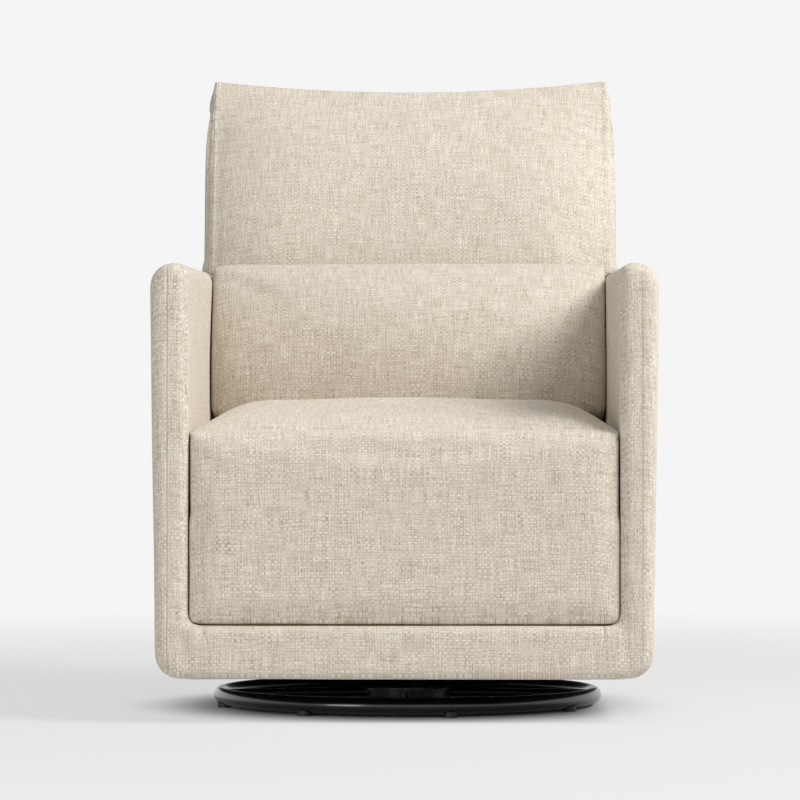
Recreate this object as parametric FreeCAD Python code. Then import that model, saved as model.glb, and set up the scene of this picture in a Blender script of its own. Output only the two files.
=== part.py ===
import FreeCAD, Part
import math
import os

# Swivel glider chair: an upholstered seat that hangs on four links from a frame,
# which turns on a ball bearing over a steel ring base.
# Millimetres, +Z up, the sitter faces -Y, origin on the floor on the swivel axis.

V = FreeCAD.Vector

# Overall form
overall_width = 762.0
overall_depth = 860.0
overall_height = 1034.0
body_bottom = 66.0
body_draw_in = 7.5

# Clearances
soft_gap = 0.3
pad_fit = 0.2
weld_gap = 0.05
running_fit = 0.05
open_pivot_fit = 0.15
screw_fit = 0.05
shape_tolerance = 1e-5
plane_tolerance = 1e-4
cut_margin = 1.0

# Degrees at which the sections of a rolled edge stand
roll_angles = (90, 60, 30, 0)

# Arms: a plywood panel in a foam sock
arm_top = 689.0
arm_panel_thickness = 18.0
arm_side_pad = 20.0
arm_top_pad = 27.0
arm_outer_round = 36.0
arm_inner_round = 20.0
arm_edge_round = 16.0
arm_rise = 16.0
arm_panel_lift = 34.0
body_corner_round = 46.0

# Wooden seat frame
front_pad = 30.0
board_thickness = 22.0
board_lift = 2.0
deck_height = 290.0
spring_rail_height = 80.0
seat_rail_height = 90.0
slat_width = 22.0
slat_height = 20.0
slat_margin = 12.0
corner_block_side = 40.0
corner_block_height = 150.0

# Back frame
rear_bottom = 345.0
outer_back_overlap = 7.0
outer_back_pad = 12.0
outer_back_drop = 26.0
outer_back_return = 7.0
back_frame_drop = 60.0
post_width = 38.0
post_depth = 30.0
post_spacer = 15.0
post_screw_radius = 3.5
post_screw_head = 7.0
post_screw_head_height = 4.0
back_rail_height = 45.0
mid_rail_drop = 70.0
strap_width = 50.0
strap_thickness = 1.5
strap_count = 7
strap_margin = 45.0

# Seat suspension
spring_count = 5
spring_bars = 21
spring_half_width = 25.0
spring_wire_radius = 1.9
spring_margin = 98.0
spring_rail_overlap = 10.0
clip_width = 24.0
clip_depth = 14.0
clip_height = 10.5
felt_thickness = 3.0

# Seat upholstery
seat_bottom = 147.0
seat_seam = 441.0
seat_crown = 48.0
seat_crown_place = -130.0
seat_least_crown = 2.0
seat_stations = 9
seat_side_gap = 3.5
seat_setback = 2.0
seat_front_round = 45.0
seat_corner_draw = 10.0
seat_corner_round = 14.0
seat_side_pull = 1.5
seat_shoulder = 85.0
seat_shoulder_share = 0.78
seat_shoulder_bulge = 7.0
rail_pad_round = 12.0
rail_pad_gap = 1.0
rail_corner_round = 15.0
seat_rear_gap = 1.0

# Back upholstery
sitting_face_depth = 180.0
sitting_rake = 15.0
lumbar_top = 714.0
lumbar_thickness = 130.0
lumbar_round = 28.0
lumbar_bulge = 16.0
lumbar_side_gap = 4.0
lumbar_end_slack = 0.2
lumbar_end_power = 12
lumbar_bottom_gap = 2.5
back_side_gap = 3.0
back_split_rise = 1.5
back_overhang = 17.0
back_corner_inset = 7.0
back_dip = 19.0
back_bulge = 22.0
back_edge_depth = 24.0

# Dust cover
cloth_thickness = 1.0
cloth_margin = 2.0

# Ring base
ring_radius = 297.0
ring_tube_radius = 12.5
ring_wall = 2.0
glide_height = 5.0
glide_radius = 11.0
glide_count = 8
glide_turn = 13.5
spoke_radius = 7.0
spoke_count = 4
hub_radius = 70.0
hub_bottom = 12.5
hub_top = 28.0
hub_plate = 6.0
hub_rim = 20.0

# Swivel bearing
ball_radius = 3.0
ball_circle = 50.0
ball_count = 16
race_gap = 2.0
race_thickness = 4.0
cage_thickness = 1.2
cage_half_width = 8.0
pivot_radius = 8.0
pivot_flats = 24.0
pivot_head_height = 9.0
pivot_nut_height = 12.0
pivot_washer_radius = 16.0
pivot_washer_thickness = 2.5
rivet_radius = 3.0
rivet_head_radius = 5.0
rivet_head_height = 1.8
race_rivet_circle = 61.0
race_rivet_count = 4

# Glider frame on the bearing
pan_half_width = 125.0
pan_half_depth = 115.0
pan_flare = 10.0
pan_height = 18.0
pan_thickness = 4.0
pan_hole_radius = 26.0
stand_thickness = 6.0
stand_foot = 28.0
stand_foot_thickness = 4.0
stand_half_depth = 100.0
stand_ear_radius = 18.0
stand_window_radius = 34.0
stand_window_share = 0.45
stand_rivet_radius = 4.0
stand_rivet_head = 7.0
stand_rivet_spacing = 70.0
tie_radius = 8.0

# Links
link_length = 115.0
link_thickness = 6.0
link_half_width = 13.0
link_gap = 3.0
pivot_half_spacing = 95.0
lower_pivot_height = 82.0
swing_limit = 20.0
pin_radius = 6.0
pin_head_radius = 10.0
pin_head_height = 4.0
bush_wall = 2.0
washer_radius = 11.0
bumper_radius = 8.0
bumper_drop = 60.0
bumper_gap = 0.5

# Glide rails under the seat
rail_thickness = 4.0
rail_gap = 3.5
rail_half_length = 130.0
rail_height = 45.0
rail_screw_radius = 3.0
rail_screw_head = 5.5
rail_screw_head_height = 2.0
rail_screw_length = 16.0
rail_screw_rise = 20.0

# Places worked out from the sizes above
front = -overall_depth / 2
half_width = overall_width / 2
panel_outer = half_width - arm_side_pad
panel_inner = panel_outer - arm_panel_thickness
arm_inner = panel_inner - arm_side_pad
panel_front = front + front_pad
panel_top = arm_top - arm_top_pad
board_bottom = body_bottom + board_lift
board_back = panel_front + board_thickness
outer_back_top = overall_height - outer_back_drop
back_frame_top = overall_height - back_frame_drop
rake = math.atan((overall_depth / 2 - rear_bottom) / (outer_back_top - body_bottom))
frame_depth = outer_back_pad + post_depth
cushion_plane = frame_depth + strap_thickness + soft_gap
post_outer = panel_inner - post_spacer
post_inner = post_outer - post_width
rear_board_plane = outer_back_pad + board_thickness
spring_rail_back = sitting_face_depth + spring_rail_overlap
felt_bottom = deck_height + clip_height + soft_gap
foam_bottom = felt_bottom + felt_thickness + soft_gap
seat_half = arm_inner - seat_side_gap
seat_front = front + seat_setback
seat_rear = sitting_face_depth - seat_rear_gap
back_split = arm_top + arm_rise + back_split_rise
panel_bottom = body_bottom + arm_panel_lift
outer_back_half_width = arm_inner + outer_back_overlap
back_half_width = arm_inner + back_overhang
back_corner_half_width = back_half_width - back_corner_inset
spring_spread = arm_inner - spring_margin

ring_height = glide_height + ring_tube_radius
ball_height = hub_top + race_gap / 2
race_bottom = hub_top + race_gap
pan_bottom = race_bottom + race_thickness
pan_floor = pan_bottom + pan_thickness
stand_outer = pan_half_width + pan_flare * pan_thickness / pan_height - pan_thickness - soft_gap
stand_inner = stand_outer - stand_thickness
link_inner = stand_outer + link_gap
link_outer = link_inner + link_thickness
rail_inner = link_outer + rail_gap
rail_outer = rail_inner + rail_thickness
seat_rail_outer = rail_outer + board_thickness
upper_pivot_height = lower_pivot_height + link_length
swing = math.radians(swing_limit)
glide_travel = link_length * math.sin(swing)
bush_radius = pin_radius + bush_wall
slat_inner = pivot_half_spacing + stand_ear_radius + glide_travel + slat_margin


# Plain solids

def box(x, y, z):
    size = (x[1] - x[0], y[1] - y[0], z[1] - z[0])
    return Part.makeBox(*size, V(x[0], y[0], z[0]))


def rod(radius, start, end):
    axis = end - start
    return Part.makeCylinder(radius, axis.Length, start, axis)


def rod_x(radius, x0, x1, y, z):
    return rod(radius, V(x0, y, z), V(x1, y, z))


def rod_z(radius, z0, z1, x=0.0, y=0.0):
    return rod(radius, V(x, y, z0), V(x, y, z1))


def bore_z(radius, z0, z1, x=0.0, y=0.0):
    return rod_z(radius, z0 - cut_margin, z1 + cut_margin, x, y)


def hexagon_z(across_flats, z0, z1):
    corner = across_flats / math.sqrt(3)
    angles = [math.radians(60 * i) for i in range(7)]
    points = [V(corner * math.cos(a), corner * math.sin(a), z0) for a in angles]
    return Part.Face(Part.makePolygon(points)).extrude(V(0, 0, z1 - z0))


def mirrored(shape):
    return shape.mirror(V(0, 0, 0), V(1, 0, 0))


def both_sides(shape):
    return [shape, mirrored(shape)]


def turned(shape, degrees):
    copy = shape.copy()
    copy.rotate(V(0, 0, 0), V(0, 0, 1), degrees)
    return copy


def closed_wire(points, bulges, place):
    """Wire through points, counter-clockwise; each side bows out by its bulge, or is straight at 0."""
    edges = []
    for i, start in enumerate(points):
        end = points[(i + 1) % len(points)]
        if bulges[i] == 0:
            edges.append(Part.makeLine(place(*start), place(*end)))
            continue
        run = (end[0] - start[0], end[1] - start[1])
        length = math.hypot(*run)
        middle = (
            (start[0] + end[0]) / 2 + run[1] / length * bulges[i],
            (start[1] + end[1]) / 2 - run[0] / length * bulges[i],
        )
        edges.append(Part.Arc(place(*start), place(*middle), place(*end)).toShape())
    return Part.Wire(edges)


def quarter_bulge(radius):
    return radius * (1 - math.cos(math.pi / 4))


def plate_yz(points, bulges, x0, x1):
    wire = closed_wire(points, bulges, lambda y, z: V(x0, y, z))
    return Part.Face(wire).extrude(V(x1 - x0, 0, 0))


def loft(wires):
    solid = Part.Solid(Part.makeLoft(wires, True, True).Shells[0])
    solid.fix(shape_tolerance, shape_tolerance, shape_tolerance)
    if solid.Volume < 0:
        solid.reverse()
    return solid


def edges_on_plane(shape, y):
    found = []
    for edge in shape.Edges:
        reach = edge.BoundBox
        if max(abs(reach.YMin - y), abs(reach.YMax - y)) < plane_tolerance:
            found.append(edge)
    return found


# The raked back: n is the depth in from its rear face, s the length up its slope

def onto_back(shape):
    copy = shape.copy()
    copy.rotate(V(0, 0, 0), V(1, 0, 0), -math.degrees(rake))
    copy.translate(V(0, rear_bottom, body_bottom))
    return copy


def back_box(x, n, s):
    return onto_back(box(x, (-n[1], -n[0]), s))


def back_y(n, z):
    return rear_bottom + (z - body_bottom) * math.tan(rake) - n / math.cos(rake)


def slope_at(z):
    return (z - body_bottom) / math.cos(rake)


def ahead_of_back(n):
    reach = overall_depth + overall_height
    return back_box((-reach, reach), (n, reach), (-reach, reach))


# Ring base

def base_ring():
    middle = V(0, 0, ring_height)
    outer = Part.makeTorus(ring_radius, ring_tube_radius, middle)
    return outer.cut(Part.makeTorus(ring_radius, ring_tube_radius - ring_wall, middle))


def ring_glides():
    groove = Part.makeTorus(ring_radius, ring_tube_radius + weld_gap, V(0, 0, ring_height))
    glide = rod_z(glide_radius, 0, glide_height + glide_radius / 3, 0, -ring_radius)
    glide = glide.cut(groove)
    return [turned(glide, glide_turn + 360 / glide_count * i) for i in range(glide_count)]


def spokes():
    inner = V(0, -hub_radius / 2, hub_bottom + (hub_top - hub_bottom) / 2)
    rise = (inner.z - ring_height) / (ring_radius - hub_radius)
    inner.z = inner.z + rise * hub_radius / 2
    bar = rod(spoke_radius, inner, V(0, -ring_radius, ring_height))
    bar = bar.cut(rod_z(hub_radius + weld_gap, 0, hub_top + hub_radius))
    bar = bar.cut(Part.makeTorus(ring_radius, ring_tube_radius + weld_gap, V(0, 0, ring_height)))
    bar = min(bar.Solids, key=lambda s: abs(s.CenterOfMass.y))
    return [turned(bar, 360 / spoke_count * i) for i in range(spoke_count)]


def hub():
    disc = rod_z(hub_radius, hub_bottom, hub_top)
    disc = disc.cut(rod_z(hub_radius - hub_rim, hub_bottom - cut_margin, hub_top - hub_plate))
    disc = disc.cut(rod_z(pivot_radius + running_fit, hub_bottom, hub_top + cut_margin))
    return disc.cut(Part.makeTorus(ball_circle, ball_radius + running_fit, V(0, 0, ball_height)))


def pivot_bolt():
    head_top = hub_top - hub_plate
    head = hexagon_z(pivot_flats, head_top - pivot_head_height, head_top)
    nut_top = pan_bottom + running_fit + pivot_washer_thickness + pivot_nut_height
    return head.fuse(rod_z(pivot_radius, head_top, nut_top + race_gap)).removeSplitter()


def pivot_washer():
    bottom = pan_bottom + running_fit
    ring = rod_z(pivot_washer_radius, bottom, bottom + pivot_washer_thickness)
    return ring.cut(bore_z(pivot_radius + running_fit, bottom, bottom + pivot_washer_thickness))


def pivot_nut():
    bottom = pan_bottom + running_fit + pivot_washer_thickness
    nut = hexagon_z(pivot_flats, bottom, bottom + pivot_nut_height)
    return nut.cut(bore_z(pivot_radius + running_fit, bottom, bottom + pivot_nut_height))


# Ball bearing

def ball_places():
    angles = [2 * math.pi * i / ball_count for i in range(ball_count)]
    return [V(ball_circle * math.cos(a), ball_circle * math.sin(a), ball_height) for a in angles]


def bearing_balls():
    return [Part.makeSphere(ball_radius, place) for place in ball_places()]


def ball_cage():
    low = ball_height - cage_thickness / 2
    high = ball_height + cage_thickness / 2
    ring = rod_z(ball_circle + cage_half_width, low, high)
    ring = ring.cut(bore_z(ball_circle - cage_half_width, low, high))
    for place in ball_places():
        ring = ring.cut(bore_z(ball_radius + running_fit, low, high, place.x, place.y))
    return ring


def race_rivet_places():
    angles = [2 * math.pi * (i + 0.5) / race_rivet_count for i in range(race_rivet_count)]
    return [(race_rivet_circle * math.cos(a), race_rivet_circle * math.sin(a)) for a in angles]


def upper_race():
    disc = rod_z(hub_radius, race_bottom, pan_bottom)
    disc = disc.cut(bore_z(pivot_radius + running_fit, race_bottom, pan_bottom))
    disc = disc.cut(Part.makeTorus(ball_circle, ball_radius + running_fit, V(0, 0, ball_height)))
    for x, y in race_rivet_places():
        disc = disc.cut(bore_z(rivet_radius + screw_fit, race_bottom, pan_bottom, x, y))
    return disc


def race_rivets():
    rivets = []
    for x, y in race_rivet_places():
        shank = rod_z(rivet_radius, race_bottom + race_gap / 4, pan_floor, x, y)
        head = rod_z(rivet_head_radius, pan_floor, pan_floor + rivet_head_height, x, y)
        rivets.append(shank.fuse(head).removeSplitter())
    return rivets


# Glider frame that turns with the seat

def rectangle(half_x, half_y, z):
    corners = [(-half_x, -half_y), (half_x, -half_y), (half_x, half_y), (-half_x, half_y)]
    return closed_wire(corners, [0] * 4, lambda x, y: V(x, y, z))


def stand_rivet_places():
    x = stand_inner - stand_foot / 2
    return [(x, stand_rivet_spacing * i) for i in (-1, 0, 1)]


def swivel_pan():
    top = pan_bottom + pan_height
    flare_at_floor = pan_flare * pan_thickness / pan_height
    outer = loft([
        rectangle(pan_half_width, pan_half_depth, pan_bottom),
        rectangle(pan_half_width + pan_flare, pan_half_depth + pan_flare, top),
    ])
    inset_x = pan_half_width - pan_thickness
    inset_y = pan_half_depth - pan_thickness
    inner = loft([
        rectangle(inset_x + flare_at_floor, inset_y + flare_at_floor, pan_floor),
        rectangle(inset_x + pan_flare, inset_y + pan_flare, top),
    ])
    pan = outer.cut(inner)
    pan = pan.cut(bore_z(pan_hole_radius, pan_bottom, pan_floor))
    for x, y in race_rivet_places():
        pan = pan.cut(bore_z(rivet_radius + screw_fit, pan_bottom, pan_floor, x, y))
    for x, y in stand_rivet_places():
        hole = bore_z(stand_rivet_radius + screw_fit, pan_bottom, pan_floor, x, y)
        pan = pan.cut(both_sides(hole))
    return pan


def stand_rivets():
    rivets = []
    foot_top = pan_floor + stand_foot_thickness
    for x, y in stand_rivet_places():
        rivet = rod_z(stand_rivet_radius, pan_bottom, foot_top, x, y)
        rivet = rivet.fuse(rod_z(stand_rivet_head, foot_top, foot_top + rivet_head_height, x, y))
        rivet = rivet.fuse(rod_z(stand_rivet_head, pan_bottom - rivet_head_height, pan_bottom, x, y))
        rivets += both_sides(rivet.removeSplitter())
    return rivets


def right_stand():
    ear = pivot_half_spacing + stand_ear_radius
    top = upper_pivot_height + stand_ear_radius
    corner = quarter_bulge(stand_ear_radius)
    outline = [
        (-stand_half_depth, pan_floor),
        (stand_half_depth, pan_floor),
        (ear, upper_pivot_height),
        (pivot_half_spacing, top),
        (-pivot_half_spacing, top),
        (-ear, upper_pivot_height),
    ]
    stand = plate_yz(outline, [0, 0, corner, 0, corner, 0], stand_inner, stand_outer)
    foot = box(
        (stand_inner - stand_foot, stand_inner),
        (-stand_half_depth, stand_half_depth),
        (pan_floor, pan_floor + stand_foot_thickness),
    )
    stand = stand.fuse(foot).removeSplitter()
    for y in (-pivot_half_spacing, pivot_half_spacing):
        stand = stand.cut(rod_x(pin_radius + screw_fit, 0, link_inner, y, upper_pivot_height))
    window_height = pan_floor + (upper_pivot_height - pan_floor) * stand_window_share
    stand = stand.cut(rod_x(stand_window_radius, 0, link_inner, 0, window_height))
    for x, y in stand_rivet_places():
        stand = stand.cut(rod_z(stand_rivet_radius + screw_fit, 0, upper_pivot_height, x, y))
    return stand


def cross_tie():
    height = upper_pivot_height - stand_ear_radius / 2
    return rod_x(tie_radius, -stand_inner, stand_inner, 0, height)


def upper_pivot_bolts():
    bolts = []
    inner_end = stand_inner - pin_head_height
    outer_end = link_outer + bumper_gap
    for y in (-pivot_half_spacing, pivot_half_spacing):
        bolt = rod_x(pin_radius, inner_end, outer_end, y, upper_pivot_height)
        head = rod_x(pin_head_radius, inner_end, stand_inner, y, upper_pivot_height)
        swaged_end = rod_x(pin_head_radius, outer_end, outer_end + rail_gap, y, upper_pivot_height)
        bolts += both_sides(bolt.fuse([head, swaged_end]).removeSplitter())
    return bolts


def upper_washers():
    washers = []
    for y in (-pivot_half_spacing, pivot_half_spacing):
        washer = rod_x(washer_radius, stand_outer, link_inner - 2 * soft_gap, y, upper_pivot_height)
        washer = washer.cut(rod_x(pin_radius + running_fit, 0, rail_outer, y, upper_pivot_height))
        washers += both_sides(washer)
    return washers


def stop_bumpers():
    reach = link_half_width + bumper_radius + bumper_gap + bumper_drop * math.sin(swing)
    offset = pivot_half_spacing - reach / math.cos(swing)
    height = upper_pivot_height - bumper_drop
    bumpers = []
    for y in (-offset, offset):
        bumpers += both_sides(rod_x(bumper_radius, stand_outer, link_outer - soft_gap, y, height))
    return bumpers


# Hanging links

def right_link(y):
    low = lower_pivot_height
    high = upper_pivot_height
    bar = box((link_inner, link_outer), (y - link_half_width, y + link_half_width), (low, high))
    for z in (low, high):
        bar = bar.fuse(rod_x(link_half_width, link_inner, link_outer, y, z))
    bar = bar.removeSplitter()
    for z in (low, high):
        bar = bar.cut(rod_x(bush_radius + screw_fit, 0, rail_outer, y, z))
    return bar


def link_bushes(y):
    bushes = []
    for z in (lower_pivot_height, upper_pivot_height):
        bush = rod_x(bush_radius, link_inner - soft_gap, link_outer + soft_gap, y, z)
        bush = bush.cut(rod_x(pin_radius + running_fit, 0, rail_outer, y, z))
        bushes += both_sides(bush)
    return bushes


# Glide rails and the pins that the seat hangs on

def rail_screw_places():
    z = lower_pivot_height + rail_screw_rise
    inner = (pivot_half_spacing - 2 * link_half_width) / 2
    outer = rail_half_length - 2 * rail_screw_head
    return [(y, z) for y in (-outer, -inner, inner, outer)]


def right_glide_rail():
    low = lower_pivot_height - link_half_width
    rail = box((rail_inner, rail_outer), (-rail_half_length, rail_half_length), (low, low + rail_height))
    for y in (-pivot_half_spacing, pivot_half_spacing):
        rail = rail.cut(rod_x(pin_radius + screw_fit, 0, seat_rail_outer, y, lower_pivot_height))
    for y, z in rail_screw_places():
        rail = rail.cut(rod_x(rail_screw_radius + screw_fit, 0, seat_rail_outer, y, z))
    return rail


def lower_pivot_pins():
    pins = []
    inner_end = link_inner - soft_gap - bush_wall
    front_pin = (-pivot_half_spacing, pin_radius)
    rear_pin = (pivot_half_spacing, pin_radius - open_pivot_fit)
    for y, radius in (front_pin, rear_pin):
        pin = rod_x(radius, inner_end, rail_outer, y, lower_pivot_height)
        head = rod_x(pin_head_radius, inner_end, inner_end + bush_wall - soft_gap, y, lower_pivot_height)
        pins += both_sides(pin.fuse(head).removeSplitter())
    return pins


def lower_washers():
    washers = []
    for y in (-pivot_half_spacing, pivot_half_spacing):
        washer = rod_x(washer_radius, link_outer + 2 * soft_gap, rail_inner, y, lower_pivot_height)
        washer = washer.cut(rod_x(pin_radius + running_fit, 0, rail_outer, y, lower_pivot_height))
        washers += both_sides(washer)
    return washers


def rail_screws():
    screws = []
    for y, z in rail_screw_places():
        screw = rod_x(rail_screw_radius, rail_inner, rail_inner + rail_screw_length, y, z)
        screw = screw.fuse(rod_x(rail_screw_head, rail_inner - rail_screw_head_height, rail_inner, y, z))
        screws += both_sides(screw.removeSplitter())
    return screws


# Wooden frame

def right_seat_rail():
    rail = box(
        (rail_outer, seat_rail_outer),
        (board_back, overall_depth / 2),
        (board_bottom, board_bottom + seat_rail_height),
    )
    rail = rail.common(ahead_of_back(rear_board_plane))
    for y, z in rail_screw_places():
        reach = rail_inner + rail_screw_length + soft_gap
        rail = rail.cut(rod_x(rail_screw_radius + screw_fit, rail_inner, reach, y, z))
    return rail


def seat_slats():
    x = (-rail_outer, rail_outer)
    z = (board_bottom, board_bottom + slat_height)
    starts = (-slat_inner - slat_width, slat_inner)
    return [box(x, (y, y + slat_width), z) for y in starts]


def front_board():
    return box((-panel_inner, panel_inner), (panel_front, board_back), (board_bottom, deck_height))


def rear_board():
    s = (board_lift, slope_at(deck_height))
    return back_box((-panel_inner, panel_inner), (outer_back_pad, rear_board_plane), s)


def spring_rail():
    return box(
        (-panel_inner, panel_inner),
        (spring_rail_back - board_thickness, spring_rail_back),
        (deck_height - spring_rail_height, deck_height),
    )


def corner_blocks():
    blocks = []
    x = (panel_inner - corner_block_side, panel_inner)
    z = (board_bottom + board_thickness, board_bottom + board_thickness + corner_block_height)
    blocks += both_sides(box(x, (board_back, board_back + corner_block_side), z))
    rear = back_y(rear_board_plane, z[0])
    rear_block = box(x, (rear - corner_block_side, rear + corner_block_side), z)
    blocks += both_sides(rear_block.common(ahead_of_back(rear_board_plane)))
    return blocks


def arm_panel_form(growth, bottom):
    outline = [
        (panel_front - growth, bottom),
        (back_y(outer_back_pad - growth, bottom), bottom),
        (back_y(outer_back_pad - growth, panel_top + growth), panel_top + growth),
        (panel_front - growth, panel_top + growth),
    ]
    return plate_yz(outline, [0] * 4, panel_inner - growth, panel_outer + growth)


def post_screw_places():
    low = slope_at(deck_height + 2 * back_rail_height)
    high = slope_at(panel_top - back_rail_height)
    return [(outer_back_pad + post_depth / 2, s) for s in (low, high)]


def post_screw(radius, head_radius, n, s):
    tip = post_inner + post_width / 4
    screw = rod_x(radius, tip, panel_outer, -n, s)
    head = rod_x(head_radius, panel_outer - post_screw_head_height, panel_outer, -n, s)
    return onto_back(screw.fuse(head).removeSplitter())


def post_screw_holes():
    return [
        post_screw(post_screw_radius + screw_fit, post_screw_head + screw_fit, n, s)
        for n, s in post_screw_places()
    ]


def post_screws():
    screws = []
    for n, s in post_screw_places():
        screws += both_sides(post_screw(post_screw_radius, post_screw_head, n, s))
    return screws


def right_arm_panel():
    return arm_panel_form(0, panel_bottom).cut(post_screw_holes())


def right_back_post():
    s = (slope_at(deck_height), slope_at(back_frame_top))
    return back_box((post_inner, post_outer), (outer_back_pad, frame_depth), s).cut(post_screw_holes())


def post_spacers():
    s = (slope_at(deck_height + back_rail_height), slope_at(panel_top))
    spacer = back_box((post_outer, panel_inner), (outer_back_pad, frame_depth), s)
    return both_sides(spacer.cut(post_screw_holes()))


def back_rail(top):
    s = (slope_at(top) - back_rail_height, slope_at(top))
    return back_box((-post_inner, post_inner), (outer_back_pad, rear_board_plane), s)


def back_webbing():
    low = slope_at(foam_bottom + strap_margin)
    high = slope_at(back_frame_top - strap_margin) - strap_width
    step = (high - low) / (strap_count - 1)
    n = (frame_depth, frame_depth + strap_thickness)
    starts = [low + step * i for i in range(strap_count)]
    return [back_box((-post_outer, post_outer), n, (s, s + strap_width)) for s in starts]


# Seat suspension

def spring_places():
    step = 2 * spring_spread / (spring_count - 1)
    return [-spring_spread + step * i for i in range(spring_count)]


def spring_ends():
    return panel_front + board_thickness / 2, spring_rail_back - board_thickness / 2


def sinuous_spring(x):
    first, last = spring_ends()
    pitch = (last - first) / (spring_bars - 1)
    turn = pitch / 2
    half_bar = spring_half_width - turn
    z = deck_height + clip_height / 2
    slant = math.sqrt(0.5) * turn
    edges = []
    for i in range(spring_bars):
        y = first + pitch * i
        side = 1 if i % 2 == 0 else -1
        bar_end = V(x + side * half_bar, y, z)
        edges.append(Part.makeLine(V(x - side * half_bar, y, z), bar_end))
        if i == spring_bars - 1:
            break
        crest = V(x + side * spring_half_width, y + turn, z)
        early = V(bar_end.x + side * slant, y + turn - slant, z)
        late = V(bar_end.x + side * slant, y + turn + slant, z)
        edges.append(Part.Arc(bar_end, early, crest).toShape())
        edges.append(Part.Arc(crest, late, V(bar_end.x, y + pitch, z)).toShape())
    start = V(x - half_bar, first, z)
    section = Part.Wire(Part.makeCircle(spring_wire_radius, start, V(1, 0, 0)))
    return Part.Wire(edges).makePipeShell([section], True, False)


def seat_springs():
    return [sinuous_spring(x) for x in spring_places()]


def spring_clips():
    z = (deck_height, deck_height + clip_height)
    half_width = clip_width / 2
    half_depth = clip_depth / 2
    clips = []
    for x in spring_places():
        for y in spring_ends():
            clip = box((x - half_width, x + half_width), (y - half_depth, y + half_depth), z)
            ends = (x - half_width - cut_margin, x + half_width + cut_margin)
            wire = rod_x(spring_wire_radius + pad_fit, *ends, y, sum(z) / 2)
            clips.append(clip.cut(wire))
    return clips


def spring_felt():
    z = (felt_bottom, felt_bottom + felt_thickness)
    return box((-seat_half, seat_half), (panel_front, seat_rear), z)


# Seat upholstery

def seat_top_at(y):
    reach = seat_crown_place - seat_front if y < seat_crown_place else seat_rear - seat_crown_place
    return seat_seam + seat_crown * math.cos(math.pi / 2 * (y - seat_crown_place) / reach)


def seat_section(y, half, edge):
    crown = max(seat_top_at(y) - seat_seam, seat_least_crown)
    shoulder = (half - seat_shoulder, edge + crown * seat_shoulder_share)
    round_over = seat_shoulder_bulge * crown / seat_crown
    points = [
        (-half, foam_bottom),
        (half, foam_bottom),
        (half, edge),
        shoulder,
        (-shoulder[0], shoulder[1]),
        (-half, edge),
    ]
    middle = crown * (1 - seat_shoulder_share)
    bulges = [0, -seat_side_pull, round_over, middle, round_over, -seat_side_pull]
    return closed_wire(points, bulges, lambda x, z: V(x, y, z))


def seat_top_pad():
    sections = []
    for angle in roll_angles[:-1]:
        turn = math.radians(angle)
        y = seat_front + seat_front_round * (1 - math.sin(turn))
        edge = seat_seam - seat_front_round * (1 - math.cos(turn))
        half = seat_half - seat_corner_draw * (1 - math.cos(turn))
        sections.append(seat_section(y, half, edge))
    begin = seat_front + seat_front_round
    for i in range(seat_stations):
        y = begin + (seat_rear - begin) * i / (seat_stations - 1)
        sections.append(seat_section(y, seat_half, seat_seam))
    return loft(sections)


def seat_front_pad():
    sections = []
    depth = front_pad - seat_setback - soft_gap
    for angle in roll_angles:
        turn = math.radians(angle)
        y = seat_front + depth / 2 * (1 - math.sin(turn))
        draw = seat_corner_draw * (1 - math.cos(turn))
        sections.append(front_pad_section(y, draw))
    sections.append(front_pad_section(panel_front - soft_gap, 0))
    return loft(sections)


def front_pad_section(y, draw):
    half = seat_half - draw
    top = foam_bottom - soft_gap
    low = seat_bottom + draw
    corner = seat_corner_round - draw / 2
    points = [
        (corner - half, low),
        (half - corner, low),
        (half, low + corner),
        (half, top),
        (-half, top),
        (-half, low + corner),
    ]
    turn = quarter_bulge(corner)
    bulges = [0, turn, -seat_side_pull, 0, -seat_side_pull, turn]
    return closed_wire(points, bulges, lambda x, z: V(x, y, z))


def front_rail_pad():
    pad = box(
        (-arm_inner + soft_gap, arm_inner - soft_gap),
        (front, panel_front - soft_gap),
        (body_bottom, seat_bottom - rail_pad_gap),
    )
    edges = [e for e in edges_on_plane(pad, front) if e.BoundBox.XLength > arm_inner]
    pad = pad.makeFillet(rail_pad_round, edges)
    for corner in both_sides(rail_corner()):
        pad = pad.fuse(corner)
    return pad.removeSplitter()


def rail_corner():
    outer = arm_inner - soft_gap
    low = seat_bottom - rail_pad_gap
    x = outer - rail_corner_round
    z = low + rail_corner_round
    y = (front + rail_pad_round / 2, panel_front - soft_gap)
    round_room = rod(rail_corner_round, V(x, front, z), V(x, panel_front, z))
    return box((x, outer), y, (low - rail_pad_round, z)).cut(round_room)


# Arm upholstery

def arm_section(y, inset):
    inner = arm_inner + inset
    outer = half_width - inset
    low_x = outer - body_draw_in
    low = body_bottom + inset
    high = arm_top + arm_rise * (y - front) / overall_depth - inset
    corner = body_corner_round - inset
    outer_round = arm_outer_round - inset
    inner_round = arm_inner_round - inset
    points = [
        (inner, low),
        (low_x - corner, low),
        (low_x, low + corner),
        (outer, high - outer_round),
        (outer - outer_round, high),
        (inner + inner_round, high),
        (inner, high - inner_round),
    ]
    rounds = [quarter_bulge(r) for r in (corner, outer_round, inner_round)]
    bulges = [0, rounds[0], 0, rounds[1], 0, rounds[2], 0]
    return closed_wire(points, bulges, lambda x, z: V(x, y, z))


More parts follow.
